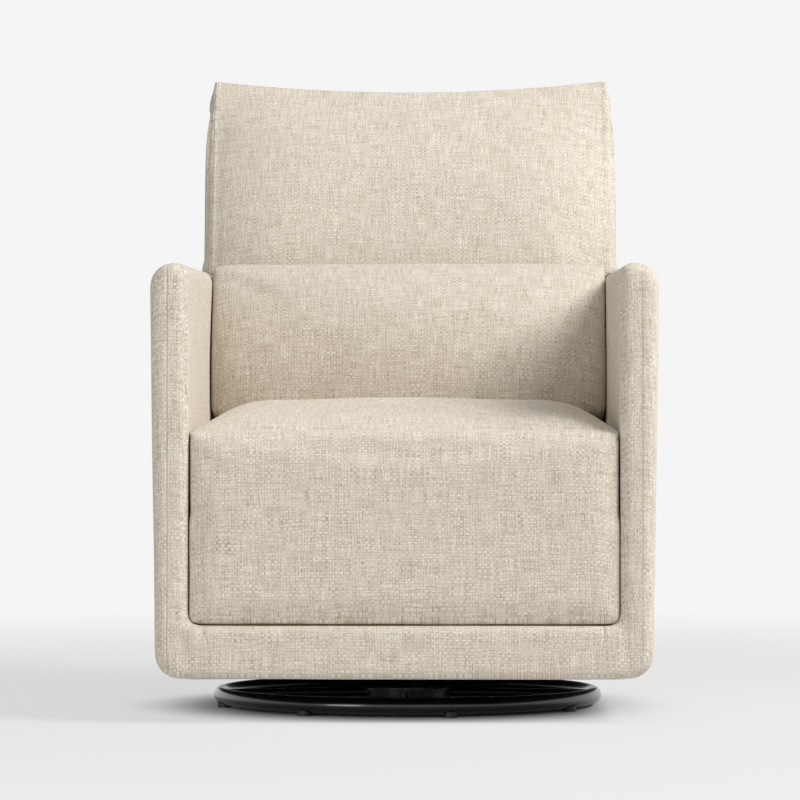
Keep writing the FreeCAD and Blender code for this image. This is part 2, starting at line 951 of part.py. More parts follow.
def right_arm_pad():
    sections = []
    for angle in roll_angles:
        turn = math.radians(angle)
        y = front + arm_edge_round * (1 - math.sin(turn))
        sections.append(arm_section(y, arm_edge_round * (1 - math.cos(turn))))
    sections.append(arm_section(overall_depth / 2, 0))
    pad = loft(sections).common(ahead_of_back(0))
    pad = pad.cut(arm_panel_form(pad_fit, panel_bottom - pad_fit))
    inner_x = (arm_inner - cut_margin, panel_inner + pad_fit)
    frame_room = box(inner_x, (panel_front - pad_fit, overall_depth), (0, foam_bottom))
    frame_room = frame_room.common(ahead_of_back(outer_back_pad - soft_gap))
    post_n = (outer_back_pad, cushion_plane)
    post_room = back_box(inner_x, post_n, (-overall_height, slope_at(panel_top) + pad_fit))
    collar_x = (arm_inner - cut_margin, post_outer + outer_back_return + 2 * soft_gap)
    collar_room = back_box(collar_x, post_n, (-overall_height, overall_height))
    panel_room = back_box(
        (arm_inner - cut_margin, outer_back_half_width + soft_gap),
        (-cut_margin, outer_back_pad + cut_margin),
        (-overall_height, overall_height),
    )
    return pad.cut([frame_room, post_room, collar_room, panel_room])


# Back upholstery

def sitting_face_at(z):
    return sitting_face_depth + max(z - seat_seam, 0) * math.tan(math.radians(sitting_rake))


def lower_back_pad():
    half = arm_inner - back_side_gap
    top = back_split
    outline = [
        (sitting_face_depth, foam_bottom),
        (back_y(cushion_plane, foam_bottom), foam_bottom),
        (back_y(cushion_plane, top), top),
        (sitting_face_at(top), top),
        (sitting_face_depth, seat_seam),
    ]
    return plate_yz(outline, [0] * 5, -half, half)


def lumbar_section(x, fullness):
    thickness = lumbar_thickness * fullness
    drop = lumbar_round * (1 - fullness)
    low_rear = sitting_face_depth - soft_gap
    low_front = low_rear - thickness + lumbar_round
    front_height = seat_top_at(low_front) + lumbar_bottom_gap + drop
    rear_height = seat_top_at(low_rear) + lumbar_bottom_gap + drop
    end_height = (seat_top_at(low_front) + seat_top_at(low_rear)) / 2
    middle_rise = seat_top_at((low_front + low_rear) / 2) - end_height
    top = lumbar_top - drop - lumbar_round / 3
    high_rear = sitting_face_at(top) - 2 * soft_gap
    high_front = high_rear - thickness + lumbar_round
    points = [(low_front, front_height), (low_rear, rear_height), (high_rear, top), (high_front, top)]
    bulges = [-middle_rise, 0, lumbar_round / 3, lumbar_bulge + lumbar_round * fullness / 2]
    return closed_wire(points, bulges, lambda y, z: V(x, y, z))


def lumbar_cushion():
    half = arm_inner - lumbar_side_gap
    stations = (-1, -0.985, -0.95, -0.88, -0.7, 0, 0.7, 0.88, 0.95, 0.985, 1)
    fullness = [1 - lumbar_end_slack * u**lumbar_end_power for u in stations]
    return loft([lumbar_section(half * u, full) for u, full in zip(stations, fullness)])


def back_section(x, inset, top):
    low = back_split + soft_gap + inset / 2
    step = back_frame_top + frame_depth * math.sin(rake) + soft_gap
    thin = outer_back_pad + soft_gap
    seam = back_y(back_edge_depth, top)
    points = [
        (sitting_face_at(low) + inset, low),
        (back_y(cushion_plane, low), low),
        (back_y(cushion_plane, step), step),
        (back_y(thin, step), step),
        (back_y(thin, outer_back_top - inset), outer_back_top - inset),
        (seam, top),
    ]
    return closed_wire(points, [0, 0, 0, 0, 0, back_bulge], lambda y, z: V(x, y, z))


def back_cushion():
    sections = []
    for u in (-1, -0.8, -0.4, 0, 0.4, 0.8, 1):
        x = back_corner_half_width * u
        sections.append(back_section(x, 0, overall_height - back_dip * (1 - u * u)))
    end_top = outer_back_top - back_corner_inset
    sections.insert(0, back_section(-back_half_width, 2 * back_corner_inset, end_top))
    sections.append(back_section(back_half_width, 2 * back_corner_inset, end_top))
    return loft(sections)


def outer_back():
    x = (-outer_back_half_width, outer_back_half_width)
    panel = back_box(x, (0, outer_back_pad - soft_gap), (0, slope_at(outer_back_top)))
    side = (post_outer + soft_gap, post_outer + soft_gap + outer_back_return)
    inner_n = cushion_plane - soft_gap
    top = slope_at(back_frame_top)
    returns = both_sides(back_box(side, (0, inner_n), (slope_at(back_split), top)))
    returns += both_sides(back_box(side, (outer_back_pad, inner_n), (slope_at(panel_top) + soft_gap, top)))
    for piece in returns:
        panel = panel.fuse(piece)
    return panel.removeSplitter()


def dust_cover():
    z = (board_bottom - cloth_thickness, board_bottom)
    half = panel_inner - cloth_margin
    rear = back_y(outer_back_pad, z[0]) - cloth_margin
    cloth = box((-half, half), (panel_front + cloth_margin, rear), z)
    return cloth.cut(box((-rail_outer, rail_outer), (-slat_inner, slat_inner), (0, deck_height)))


# Every node of the chair, by name

def parts():
    right_pieces = {
        "stand": right_stand(),
        "front_link": right_link(-pivot_half_spacing),
        "rear_link": right_link(pivot_half_spacing),
        "glide_rail": right_glide_rail(),
        "seat_rail": right_seat_rail(),
        "arm_panel": right_arm_panel(),
        "back_post": right_back_post(),
        "arm_pad": right_arm_pad(),
    }
    nodes = {
        "base_ring": base_ring(),
        "ring_glides": ring_glides(),
        "spokes": spokes(),
        "hub": hub(),
        "pivot_bolt": pivot_bolt(),
        "pivot_washer": pivot_washer(),
        "pivot_nut": pivot_nut(),
        "ball_cage": ball_cage(),
        "bearing_balls": bearing_balls(),
        "upper_race": upper_race(),
        "race_rivets": race_rivets(),
        "swivel_pan": swivel_pan(),
        "stand_rivets": stand_rivets(),
        "cross_tie": cross_tie(),
        "upper_pivot_bolts": upper_pivot_bolts(),
        "upper_washers": upper_washers(),
        "stop_bumpers": stop_bumpers(),
        "front_link_bushes": link_bushes(-pivot_half_spacing),
        "rear_link_bushes": link_bushes(pivot_half_spacing),
        "lower_pivot_pins": lower_pivot_pins(),
        "lower_washers": lower_washers(),
        "rail_screws": rail_screws(),
        "seat_slats": seat_slats(),
        "front_board": front_board(),
        "rear_board": rear_board(),
        "spring_rail": spring_rail(),
        "corner_blocks": corner_blocks(),
        "post_spacers": post_spacers(),
        "post_screws": post_screws(),
        "back_top_rail": back_rail(back_frame_top),
        "back_mid_rail": back_rail(arm_top - mid_rail_drop),
        "back_webbing": back_webbing(),
        "seat_springs": seat_springs(),
        "spring_clips": spring_clips(),
        "spring_felt": spring_felt(),
        "seat_top_pad": seat_top_pad(),
        "seat_front_pad": seat_front_pad(),
        "front_rail_pad": front_rail_pad(),
        "lower_back_pad": lower_back_pad(),
        "lumbar_cushion": lumbar_cushion(),
        "back_cushion": back_cushion(),
        "outer_back": outer_back(),
        "dust_cover": dust_cover(),
    }
    for name, shape in right_pieces.items():
        nodes["right_" + name] = shape
        nodes["left_" + name] = mirrored(shape)
    return nodes


os.makedirs("parts", exist_ok=True)
for name, shape in parts().items():
    solids = []
    for piece in shape if isinstance(shape, list) else [shape]:
        solids += piece.Solids
    whole = solids[0] if len(solids) == 1 else Part.makeCompound(solids)
    whole.exportStep("parts/" + name + ".step")
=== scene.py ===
import math

import bmesh
import bpy
import numpy as np
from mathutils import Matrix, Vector, noise


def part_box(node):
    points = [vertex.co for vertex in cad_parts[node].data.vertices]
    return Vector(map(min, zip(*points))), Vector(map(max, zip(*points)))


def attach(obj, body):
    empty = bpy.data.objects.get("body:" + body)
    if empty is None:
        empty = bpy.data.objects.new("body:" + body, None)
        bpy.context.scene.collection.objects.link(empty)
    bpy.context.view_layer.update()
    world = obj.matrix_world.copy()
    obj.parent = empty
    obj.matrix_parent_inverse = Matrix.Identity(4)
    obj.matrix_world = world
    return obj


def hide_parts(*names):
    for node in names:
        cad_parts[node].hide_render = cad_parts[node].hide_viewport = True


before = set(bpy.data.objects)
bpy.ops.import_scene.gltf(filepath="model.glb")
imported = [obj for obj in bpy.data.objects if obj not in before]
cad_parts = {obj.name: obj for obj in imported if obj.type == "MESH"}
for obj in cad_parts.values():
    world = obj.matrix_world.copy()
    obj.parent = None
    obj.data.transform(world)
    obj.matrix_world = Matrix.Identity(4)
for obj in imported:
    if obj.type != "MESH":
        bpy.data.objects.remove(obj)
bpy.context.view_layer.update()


# Ring base
# A ring of bent steel tube with four welded spokes and a hub, and the pan, links and rails that turn on it.
# All of it is sprayed with gloss black powder, which flows out to a faint orange peel.

def to_linear(hex_colour):
    """An sRGB hex colour as the linear colour that a shader takes."""
    parts = [int(hex_colour[i : i + 2], 16) / 255 for i in (1, 3, 5)]
    linear = [p / 12.92 if p <= 0.04045 else ((p + 0.055) / 1.055) ** 2.4 for p in parts]
    return (*linear, 1.0)


def add(tree, kind, inputs=None, **settings):
    """Adds one node with its settings; an input is a plain value or another node's output."""
    made = tree.nodes.new(kind)
    for name, value in settings.items():
        setattr(made, name, value)
    for name, value in (inputs or {}).items():
        if isinstance(value, bpy.types.NodeSocket):
            tree.links.new(value, made.inputs[name])
        else:
            made.inputs[name].default_value = value
    return made


def new_finish(name):
    """A material with only its surface shader, and the tree that holds it."""
    material = bpy.data.materials.new(name)
    material.use_nodes = True
    tree = material.node_tree
    tree.nodes.clear()
    shader = add(tree, "ShaderNodeBsdfPrincipled")
    add(tree, "ShaderNodeOutputMaterial", {"Surface": shader.outputs["BSDF"]})
    return material, tree, shader


def dress(material, *nodes):
    """Gives CAD nodes a finish."""
    for name in nodes:
        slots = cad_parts[name].data.materials
        slots.clear()
        slots.append(material)


def per_metre(millimetres):
    """How many of something that size fit in a metre, which is a texture's scale."""
    return 1000 / millimetres


# Powder coat: a smooth thick film, so it shines, with a soft ripple a few millimetres wide
powder_coat, tree, shader = new_finish("gloss_black_powder_coat")
place = add(tree, "ShaderNodeTexCoord").outputs["Object"]
ripple = add(tree, "ShaderNodeTexNoise", {"Vector": place, "Scale": per_metre(2.5), "Detail": 2.0})
dust = add(tree, "ShaderNodeTexNoise", {"Vector": place, "Scale": per_metre(40), "Detail": 6.0})
shine = add(tree, "ShaderNodeMapRange", {"Value": dust.outputs["Fac"], "To Min": 0.16, "To Max": 0.34})
# A mix of colours takes its share in input 0 and the colours in 6 and 7, and gives the result in output 2
tone = add(tree, "ShaderNodeMix",
           {0: dust.outputs["Fac"], 6: to_linear("#08080A"), 7: to_linear("#131315")}, data_type="RGBA")
relief = add(tree, "ShaderNodeBump", {"Height": ripple.outputs["Fac"], "Strength": 0.12, "Distance": 0.0004})
tree.links.new(tone.outputs[2], shader.inputs["Base Color"])
tree.links.new(shine.outputs["Result"], shader.inputs["Roughness"])
tree.links.new(relief.outputs["Normal"], shader.inputs["Normal"])
shader.inputs["Coat Weight"].default_value = 0.4
shader.inputs["Coat Roughness"].default_value = 0.12
dress(
    powder_coat,
    "base_ring", "spokes", "hub", "swivel_pan", "left_stand", "right_stand", "cross_tie", "upper_race",
    "left_front_link", "right_front_link", "left_rear_link", "right_rear_link", "left_glide_rail",
    "right_glide_rail",
)


# Ring glides
# Eight moulded nylon buttons pressed on under the ring, black right through.
# Moulded nylon is a little waxy: satin, with scuffs from the floor.

glide_plastic, tree, shader = new_finish("black_moulded_nylon")
place = add(tree, "ShaderNodeTexCoord").outputs["Object"]
scuffs = add(tree, "ShaderNodeTexNoise", {"Vector": place, "Scale": per_metre(3), "Detail": 5.0})
tone = add(tree, "ShaderNodeMix",
           {0: scuffs.outputs["Fac"], 6: to_linear("#101011"), 7: to_linear("#242426")}, data_type="RGBA")
dull = add(tree, "ShaderNodeMapRange", {"Value": scuffs.outputs["Fac"], "To Min": 0.4, "To Max": 0.65})
relief = add(tree, "ShaderNodeBump", {"Height": scuffs.outputs["Fac"], "Strength": 0.2, "Distance": 0.0003})
tree.links.new(tone.outputs[2], shader.inputs["Base Color"])
tree.links.new(dull.outputs["Result"], shader.inputs["Roughness"])
tree.links.new(relief.outputs["Normal"], shader.inputs["Normal"])
shader.inputs["IOR"].default_value = 1.53
dress(glide_plastic, "ring_glides")


# Bearing balls, pins and screws
# Steel balls, bolts, rivets, screws and clips, zinc plated and clear passivated.
# The plating is bright with a fine crystal mottle, and wears duller in places.

zinc_plate, tree, shader = new_finish("zinc_plated_steel")
place = add(tree, "ShaderNodeTexCoord").outputs["Object"]
crystals = add(tree, "ShaderNodeTexVoronoi", {"Vector": place, "Scale": per_metre(1.5)})
clouding = add(tree, "ShaderNodeTexNoise", {"Vector": place, "Scale": per_metre(15), "Detail": 4.0})
tone = add(tree, "ShaderNodeMix",
           {0: clouding.outputs["Fac"], 6: to_linear("#A9ADB0"), 7: to_linear("#CDD0D2")}, data_type="RGBA")
dull = add(tree, "ShaderNodeMapRange", {"Value": clouding.outputs["Fac"], "To Min": 0.26, "To Max": 0.46})
relief = add(tree, "ShaderNodeBump",
             {"Height": crystals.outputs["Distance"], "Strength": 0.1, "Distance": 0.0002})
tree.links.new(tone.outputs[2], shader.inputs["Base Color"])
tree.links.new(dull.outputs["Result"], shader.inputs["Roughness"])
tree.links.new(relief.outputs["Normal"], shader.inputs["Normal"])
shader.inputs["Metallic"].default_value = 1.0
dress(
    zinc_plate,
    "pivot_bolt", "pivot_washer", "pivot_nut", "bearing_balls", "race_rivets", "stand_rivets",
    "upper_pivot_bolts", "lower_pivot_pins", "rail_screws", "post_screws", "spring_clips",
)


# Bearing cage, bushes and washers
# Injection moulded natural nylon, pressed into the links or slipped over the bolts and pins.
# It is off-white and slightly waxy, a little uneven where the melt flowed.

natural_nylon, tree, shader = new_finish("natural_moulded_nylon")
place = add(tree, "ShaderNodeTexCoord").outputs["Object"]
flow = add(tree, "ShaderNodeTexNoise", {"Vector": place, "Scale": per_metre(8), "Detail": 3.0})
tone = add(tree, "ShaderNodeMix",
           {0: flow.outputs["Fac"], 6: to_linear("#D8D2C2"), 7: to_linear("#EAE6DA")}, data_type="RGBA")
dull = add(tree, "ShaderNodeMapRange", {"Value": flow.outputs["Fac"], "To Min": 0.4, "To Max": 0.55})
tree.links.new(tone.outputs[2], shader.inputs["Base Color"])
tree.links.new(dull.outputs["Result"], shader.inputs["Roughness"])
shader.inputs["IOR"].default_value = 1.53
dress(natural_nylon, "ball_cage", "upper_washers", "lower_washers", "front_link_bushes", "rear_link_bushes")


# Stop bumpers
# Four black rubber buffers on the glider frame that the links meet at the end of their swing.
# Moulded rubber is matt with a fine bloom.

black_rubber, tree, shader = new_finish("black_moulded_rubber")
place = add(tree, "ShaderNodeTexCoord").outputs["Object"]
bloom = add(tree, "ShaderNodeTexNoise", {"Vector": place, "Scale": per_metre(2), "Detail": 4.0})
tone = add(tree, "ShaderNodeMix",
           {0: bloom.outputs["Fac"], 6: to_linear("#161616"), 7: to_linear("#2A2A2A")}, data_type="RGBA")
relief = add(tree, "ShaderNodeBump", {"Height": bloom.outputs["Fac"], "Strength": 0.3, "Distance": 0.0003})
tree.links.new(tone.outputs[2], shader.inputs["Base Color"])
tree.links.new(relief.outputs["Normal"], shader.inputs["Normal"])
shader.inputs["Roughness"].default_value = 0.8
dress(black_rubber, "stop_bumpers")


# Wooden frame
# Sawn beech rails, posts, slats and blocks, glued and stapled, left bare inside the cover.
# Beech is pale pinkish brown with a fine straight grain and short dark flecks.

def grain_along(tree, axis_scale):
    """Object coordinates squeezed so that a noise runs as grain along one axis."""
    place = add(tree, "ShaderNodeTexCoord").outputs["Object"]
    return add(tree, "ShaderNodeMapping", {"Vector": place, "Scale": axis_scale}).outputs["Vector"]


def beech(name, axis_scale):
    """Bare beech with its grain along the axis that has the smallest scale."""
    material, tree, shader = new_finish(name)
    place = grain_along(tree, axis_scale)
    rings = add(tree, "ShaderNodeTexNoise", {"Vector": place, "Scale": per_metre(14), "Detail": 4.0})
    flecks = add(tree, "ShaderNodeTexNoise", {"Vector": place, "Scale": per_metre(1.6), "Detail": 2.0})
    tone = add(tree, "ShaderNodeMix",
               {0: rings.outputs["Fac"], 6: to_linear("#C79F74"), 7: to_linear("#E0C49E")}, data_type="RGBA")
    fleck_share = add(tree, "ShaderNodeMapRange",
                      {"Value": flecks.outputs["Fac"], "From Min": 0.58, "From Max": 0.72, "To Max": 0.55})
    flecked = add(tree, "ShaderNodeMix",
                  {0: fleck_share.outputs["Result"], 6: tone.outputs[2], 7: to_linear("#9A6F48")},
                  data_type="RGBA")
    relief = add(tree, "ShaderNodeBump",
                 {"Height": flecks.outputs["Fac"], "Strength": 0.25, "Distance": 0.0004})
    tree.links.new(flecked.outputs[2], shader.inputs["Base Color"])
    tree.links.new(relief.outputs["Normal"], shader.inputs["Normal"])
    shader.inputs["Roughness"].default_value = 0.62
    return material


stretch = 0.06
dress(beech("bare_beech_lengthwise", (1.0, stretch, 1.0)), "left_seat_rail", "right_seat_rail")
dress(
    beech("bare_beech_crosswise", (stretch, 1.0, 1.0)),
    "seat_slats", "spring_rail", "back_top_rail", "back_mid_rail",
)
dress(
    beech("bare_beech_upright", (1.0, 1.0, stretch)),
    "left_back_post", "right_back_post", "post_spacers", "corner_blocks",
)


# Arm panels and seat boards
# Sheets of birch plywood sawn to shape, screwed and glued to the wooden frame and left bare.
# The peeled face is pale with a soft figure, and the plies show as thin bands on the cut edges.

ply_pair_mm = 2.8


def wave_scale(millimetres):
    """A wave texture's scale for one band in so many millimetres: it turns by 20 radians in a unit."""
    return per_metre(millimetres) * math.tau / 20


def birch_ply(name, through):
    """Sawn birch plywood whose plies lie across the axis that goes through the sheet."""
    material, tree, shader = new_finish(name)
    place = add(tree, "ShaderNodeTexCoord").outputs["Object"]
    figure = add(tree, "ShaderNodeTexNoise",
                 {"Vector": grain_along(tree, (1.0, 1.0, 0.08)), "Scale": per_metre(9), "Detail": 5.0})
    plies = add(tree, "ShaderNodeTexWave", {"Vector": place, "Scale": wave_scale(ply_pair_mm)},
                bands_direction=through)
    tone = add(tree, "ShaderNodeMix",
               {0: figure.outputs["Fac"], 6: to_linear("#D9BE93"), 7: to_linear("#EAD8B6")},
               data_type="RGBA")
    layered = add(tree, "ShaderNodeMix",
                  {0: plies.outputs["Fac"], 6: to_linear("#C49E70"), 7: tone.outputs[2]}, data_type="RGBA")
    tree.links.new(layered.outputs[2], shader.inputs["Base Color"])
    shader.inputs["Roughness"].default_value = 0.7
    return material


dress(birch_ply("sawn_birch_plywood_upright", "X"), "left_arm_panel", "right_arm_panel")
dress(birch_ply("sawn_birch_plywood_crosswise", "Y"), "front_board", "rear_board")


# Seat springs
# Five sinuous springs of hard drawn steel wire, hooked into clips on the front board and the spring rail.
# The wire is oiled and stove blued, which leaves it dark grey with a dull metal shine.

spring_wire, tree, shader = new_finish("blued_spring_wire")
place = add(tree, "ShaderNodeTexCoord").outputs["Object"]
oil = add(tree, "ShaderNodeTexNoise", {"Vector": place, "Scale": per_metre(25), "Detail": 3.0})
tone = add(tree, "ShaderNodeMix",
           {0: oil.outputs["Fac"], 6: to_linear("#3A3C40"), 7: to_linear("#6A6D70")}, data_type="RGBA")
dull = add(tree, "ShaderNodeMapRange", {"Value": oil.outputs["Fac"], "To Min": 0.3, "To Max": 0.5})
tree.links.new(tone.outputs[2], shader.inputs["Base Color"])
tree.links.new(dull.outputs["Result"], shader.inputs["Roughness"])
shader.inputs["Metallic"].default_value = 1.0
dress(spring_wire, "seat_springs")


# Back webbing
# Seven elastic jute and rubber straps stapled across the posts, each a flat woven band.
# They are drawn as plain woven bands with a ribbed face.

def link_piece(name, made):
    """A bmesh as a smooth-shaded object at the origin."""
    mesh = bpy.data.meshes.new(name)
    made.to_mesh(mesh)
    made.free()
    mesh.polygons.foreach_set("use_smooth", [True] * len(mesh.polygons))
    piece = bpy.data.objects.new(name, mesh)
    bpy.context.scene.collection.objects.link(piece)
    return piece


def copy_of(*nodes):
    """One bmesh of the CAD nodes' surfaces, with their loose triangles joined up."""
    made = bmesh.new()
    for name in nodes:
        made.from_mesh(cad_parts[name].data)
    bmesh.ops.remove_doubles(made, verts=made.verts, dist=1e-6)
    return made


rib_pitch_mm = 2.0
shortest_strap = 0.3
webbing_weave, tree, shader = new_finish("woven_elastic_webbing")
place = add(tree, "ShaderNodeTexCoord").outputs["Object"]
ribs = add(tree, "ShaderNodeTexWave", {"Vector": place, "Scale": wave_scale(rib_pitch_mm)},
           bands_direction="Z")
fibres = add(tree, "ShaderNodeTexNoise", {"Vector": place, "Scale": per_metre(1.2), "Detail": 3.0})
tone = add(tree, "ShaderNodeMix",
           {0: fibres.outputs["Fac"], 6: to_linear("#2B2B2C"), 7: to_linear("#55524C")}, data_type="RGBA")
relief = add(tree, "ShaderNodeBump", {"Height": ribs.outputs["Fac"], "Strength": 0.5, "Distance": 0.0005})
tree.links.new(tone.outputs[2], shader.inputs["Base Color"])
tree.links.new(relief.outputs["Normal"], shader.inputs["Normal"])
shader.inputs["Roughness"].default_value = 0.85

straps = copy_of("back_webbing")
bmesh.ops.dissolve_limit(straps, angle_limit=0.02, verts=straps.verts, edges=straps.edges)
long_edges = [edge for edge in straps.edges if edge.calc_length() > shortest_strap]
bmesh.ops.subdivide_edges(straps, edges=long_edges, cuts=12, use_grid_fill=True)
webbing = link_piece("back_straps", straps)
webbing.data.materials.append(webbing_weave)
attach(webbing, "seat")
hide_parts("back_webbing")


# Spring felt
# A pad of needled grey felt laid over the springs, which keeps the wire out of the foam.
# Needling leaves it matt, with soft clumps of fibre a few millimetres wide.

needled_felt, tree, shader = new_finish("needled_grey_felt")
place = add(tree, "ShaderNodeTexCoord").outputs["Object"]
clumps = add(tree, "ShaderNodeTexNoise", {"Vector": place, "Scale": per_metre(4), "Detail": 6.0})
tone = add(tree, "ShaderNodeMix",
           {0: clumps.outputs["Fac"], 6: to_linear("#6E6E6D"), 7: to_linear("#A3A19C")}, data_type="RGBA")
relief = add(tree, "ShaderNodeBump", {"Height": clumps.outputs["Fac"], "Strength": 0.6, "Distance": 0.0008})
tree.links.new(tone.outputs[2], shader.inputs["Base Color"])
tree.links.new(relief.outputs["Normal"], shader.inputs["Normal"])
shader.inputs["Roughness"].default_value = 0.95

felt_low, felt_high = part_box("spring_felt")
felt_thickness = 0.0018
felt_rise = 0.0006
rises_per_metre = 20
made = bmesh.new()
bmesh.ops.create_grid(made, x_segments=40, y_segments=38, size=0.5)
felt_size = felt_high - felt_low
for vert in made.verts:
    vert.co.x = vert.co.x * felt_size.x + (felt_low.x + felt_high.x) / 2
    vert.co.y = vert.co.y * felt_size.y + (felt_low.y + felt_high.y) / 2
    vert.co.z = felt_low.z + felt_rise * (1 + noise.noise(vert.co * rises_per_metre))
bmesh.ops.solidify(made, geom=made.faces[:], thickness=-felt_thickness)
felt_pad = link_piece("spring_pad", made)
felt_pad.data.materials.append(needled_felt)
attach(felt_pad, "seat")
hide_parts("spring_felt")


# Dust cover
# A sheet of black spunbonded cloth stapled under the frame, with a hole for the glider frame.
# Spunbond is matt with a small bonded point pattern, and sags a little between its staples.

spunbond, tree, shader = new_finish("black_spunbonded_cloth")
place = add(tree, "ShaderNodeTexCoord").outputs["Object"]
bonds = add(tree, "ShaderNodeTexVoronoi", {"Vector": place, "Scale": per_metre(2.2)})
mottle = add(tree, "ShaderNodeTexNoise", {"Vector": place, "Scale": per_metre(6), "Detail": 4.0})
tone = add(tree, "ShaderNodeMix",
           {0: mottle.outputs["Fac"], 6: to_linear("#121213"), 7: to_linear("#29292B")}, data_type="RGBA")
relief = add(tree, "ShaderNodeBump",
             {"Height": bonds.outputs["Distance"], "Strength": 0.4, "Distance": 0.0003})
tree.links.new(tone.outputs[2], shader.inputs["Base Color"])
tree.links.new(relief.outputs["Normal"], shader.inputs["Normal"])
shader.inputs["Roughness"].default_value = 0.9

cover_low, cover_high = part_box("dust_cover")
hole_half_width = 0.1394
hole_half_depth = 0.1643
staple_spacing = 0.075
cover_sag = 0.0022
sag_spread = 0.4
sags_per_metre = 9
under_frame = 0.0004
made = bmesh.new()
bmesh.ops.create_grid(made, x_segments=1, y_segments=1, size=0.5)
cover_size = cover_high - cover_low
for vert in made.verts:
    vert.co.x = vert.co.x * cover_size.x
    vert.co.y = vert.co.y * cover_size.y + (cover_low.y + cover_high.y) / 2
    vert.co.z = cover_high.z - under_frame
for normal, reach in (((1, 0, 0), hole_half_width), ((0, 1, 0), hole_half_depth)):
    for side in (-1, 1):
        parts = made.verts[:] + made.edges[:] + made.faces[:]
        bmesh.ops.bisect_plane(made, geom=parts, plane_co=Vector(normal) * side * reach, plane_no=normal)
middle_faces = []
for face in made.faces:
    middle = face.calc_center_median()
    if abs(middle.x) < hole_half_width and abs(middle.y) < hole_half_depth:
        middle_faces.append(face)
bmesh.ops.delete(made, geom=middle_faces, context="FACES")
bmesh.ops.subdivide_edges(made, edges=made.edges[:], cuts=14, use_grid_fill=True)
for vert in made.verts:
    to_edge = min(
        cover_size.x / 2 - abs(vert.co.x),
        vert.co.y - cover_low.y,
        cover_high.y - vert.co.y,
        max(abs(vert.co.x) - hole_half_width, abs(vert.co.y) - hole_half_depth),
    )
    slack = math.sin(min(to_edge / staple_spacing, 1) * math.pi / 2)
    unevenness = sag_spread * noise.noise(vert.co * sags_per_metre)
    vert.co.z -= cover_sag * slack * (1 - sag_spread + unevenness)
cover_area = sum(face.calc_area() for face in made.faces)
dust_sheet = link_piece("dust_sheet", made)
dust_sheet.data.materials.append(spunbond)
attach(dust_sheet, "seat")
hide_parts("dust_cover")


# Arms and front rail
# One cover of woven cloth over foam wraps both arms and the rail under the seat in a U.
# A seam runs down each arm front and back along its top, and the cloth tucks at the inner corners.

def remeshed(piece, voxel):
    """Gives a piece an even net of faces, as a woven cover needs before it is filled."""
    modifier = piece.modifiers.new("net", "REMESH")
    modifier.mode = "VOXEL"
    modifier.voxel_size = voxel
    modifier.use_smooth_shade = True
    take_modifiers(piece)


def take_modifiers(piece):
    """Makes what the modifiers give the piece's own mesh, and removes them."""
    bpy.context.view_layer.update()
    shown = piece.evaluated_get(bpy.context.evaluated_depsgraph_get())
    old = piece.data
    made = bpy.data.meshes.new_from_object(shown)
    piece.modifiers.clear()
    piece.data = made
    made.name = piece.name
    bpy.data.meshes.remove(old)


def points_of(mesh, field="vertices", name="co"):
    """A mesh's points or normals as an array, one row each."""
    items = getattr(mesh, field)
    values = np.zeros(len(items) * 3)
    items.foreach_get(name, values)
    return values.reshape(-1, 3)


def set_points(mesh, points):
    """Moves a mesh's points to the rows of an array."""
    mesh.vertices.foreach_set("co", points.ravel())
    mesh.update()


front_plane = -0.430
depth_at_floor = 0.769
rear_slope = 0.0902


def upright(piece, undo=False):
    """Scales a piece's depth so that the chair's raked rear stands upright, or undoes it.

    A net that is made while the rear is upright has straight edges there.
    """
    points = points_of(piece.data)
    spread = 1 + rear_slope * points[:, 2] / depth_at_floor
    points[:, 1] = front_plane + (points[:, 1] - front_plane) * (spread if undo else 1 / spread)
    set_points(piece.data, points)


def eased(piece, rounds):
    """Relaxes a cover's points towards their neighbours."""
    made = bmesh.new()
    made.from_mesh(piece.data)
    for _ in range(rounds):
        bmesh.ops.smooth_vert(made, verts=made.verts, factor=0.5,
                              use_axis_x=True, use_axis_y=True, use_axis_z=True)
    made.to_mesh(piece.data)
    made.free()


def uneven_fill(piece, width, depth):
    """Small rises and hollows as wide as given, as hand packed filling leaves them."""
    points = points_of(piece.data)
    normals = points_of(piece.data, name="normal")
    rise = np.array([noise.noise(Vector(p) / width) for p in points])
    set_points(piece.data, points + normals * (rise * depth)[:, None])


def lay_cloth(piece):
    """A cloth map in metres: front and top share one run of cloth, and the sides carry on from the front."""
    mesh = piece.data
    layer = mesh.uv_layers.new(name="cloth")
    facing = np.abs(points_of(mesh, "polygons", "normal")).argmax(axis=1)
    loop_counts = np.zeros(len(mesh.polygons), int)
    mesh.polygons.foreach_get("loop_total", loop_counts)
    corner_vert = np.zeros(len(mesh.loops), int)
    mesh.loops.foreach_get("vertex_index", corner_vert)
    on_side = np.repeat(facing, loop_counts) == 0
    x, y, z = points_of(mesh)[corner_vert].T
    across = np.where(on_side, x + np.sign(x) * (y - y.min()), x)
    along = np.where(on_side, z, y + z)
    layer.data.foreach_set("uv", np.column_stack((across, along)).ravel())


# Basket weave of heathered linen-look yarn: bundles of yarn pass over and under each other, so upright and
# level dashes alternate every 4.55 mm, as counted in the photograph. Slubs streak it both ways.
bundle_mm = 4.55
drift_bundles = 1.5
under_dip = 0.45
basket_weave, tree, shader = new_finish("heathered_basket_weave")
cloth = add(tree, "ShaderNodeUVMap", uv_map="cloth").outputs["UV"]
in_bundles = add(tree, "ShaderNodeVectorMath", {0: cloth, "Scale": per_metre(bundle_mm)}, operation="SCALE")
wander = add(tree, "ShaderNodeTexNoise",
             {"Vector": in_bundles.outputs["Vector"], "Scale": 0.09, "Detail": 2.0}, noise_dimensions="2D")
drift = add(tree, "ShaderNodeVectorMath", {0: wander.outputs["Color"], "Scale": drift_bundles},
            operation="SCALE")
uneven = add(tree, "ShaderNodeVectorMath", {0: in_bundles.outputs["Vector"], 1: drift.outputs["Vector"]},
             operation="ADD")
